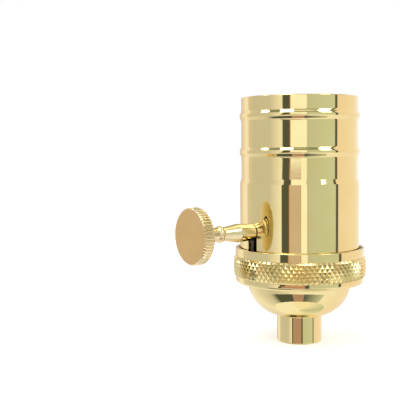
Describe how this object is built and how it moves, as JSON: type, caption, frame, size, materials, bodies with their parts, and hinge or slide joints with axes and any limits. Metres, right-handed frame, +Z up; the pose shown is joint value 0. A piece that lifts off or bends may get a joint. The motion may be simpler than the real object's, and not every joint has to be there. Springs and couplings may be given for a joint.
{
  "type": "turn knob lamp socket",
  "caption": "Turned brass lamp socket with a threaded neck, a knurled coupling ring, a beaded shell and a turn knob switch at its side.",
  "frame": {"origin": "centre of the neck's lower end, on the socket's axis", "axes": "+Z up along the socket's axis to the lamp, -X along the knob's axis to the knob"},
  "size_m": [0.0579, 0.039, 0.0718],
  "materials": {
    "polished_brass": "polished",
    "knob_brass": "satin",
    "fibre": "matte",
    "moulded_black": "satin",
    "pressed_brass": "satin",
    "spring_bronze": "satin",
    "nickel_steel": "satin",
    "shaft_steel": "satin"
  },
  "bodies": {
    "interior": {"cap": "polished_brass", "switch_base": "moulded_black", "contact_block": "moulded_black", "screw_shell": "pressed_brass", "hot_terminal": "pressed_brass", "neutral_terminal": "pressed_brass", "hot_screw": "pressed_brass", "centre_contact": "spring_bronze", "click_spring": "spring_bronze", "neutral_screw": "nickel_steel", "body_screws": "nickel_steel", "body_nuts": "nickel_steel"},
    "ring": {"coupling_ring": "polished_brass"},
    "shell": {"shell": "polished_brass", "shell_liner": "fibre"},
    "knob": {"turn_knob": "knob_brass", "key_shaft": "shaft_steel", "switch_rotor": "moulded_black", "contact_bridge": "pressed_brass"}
  },
  "joints": [
    {"name": "ring_turn", "type": "hinge", "parent": "interior", "child": "ring", "pos_m": [0, 0, 0.0228], "axis": [0, 0, -1], "range_deg": [0, 1440]},
    {"name": "shell_lift", "type": "slide", "parent": "interior", "child": "shell", "axis": [0, 0, 1], "range_m": [0, 0.004]},
    {"name": "knob_turn", "type": "hinge", "parent": "interior", "child": "knob", "pos_m": [0, 0, 0.0334], "axis": [-1, 0, 0], "continuous": true, "deforming": ["click_spring"]}
  ],
  "couplings": [
    {"joint": "shell_lift", "follows": "ring_turn", "m_per_rad": 0.00015915}
  ]
}
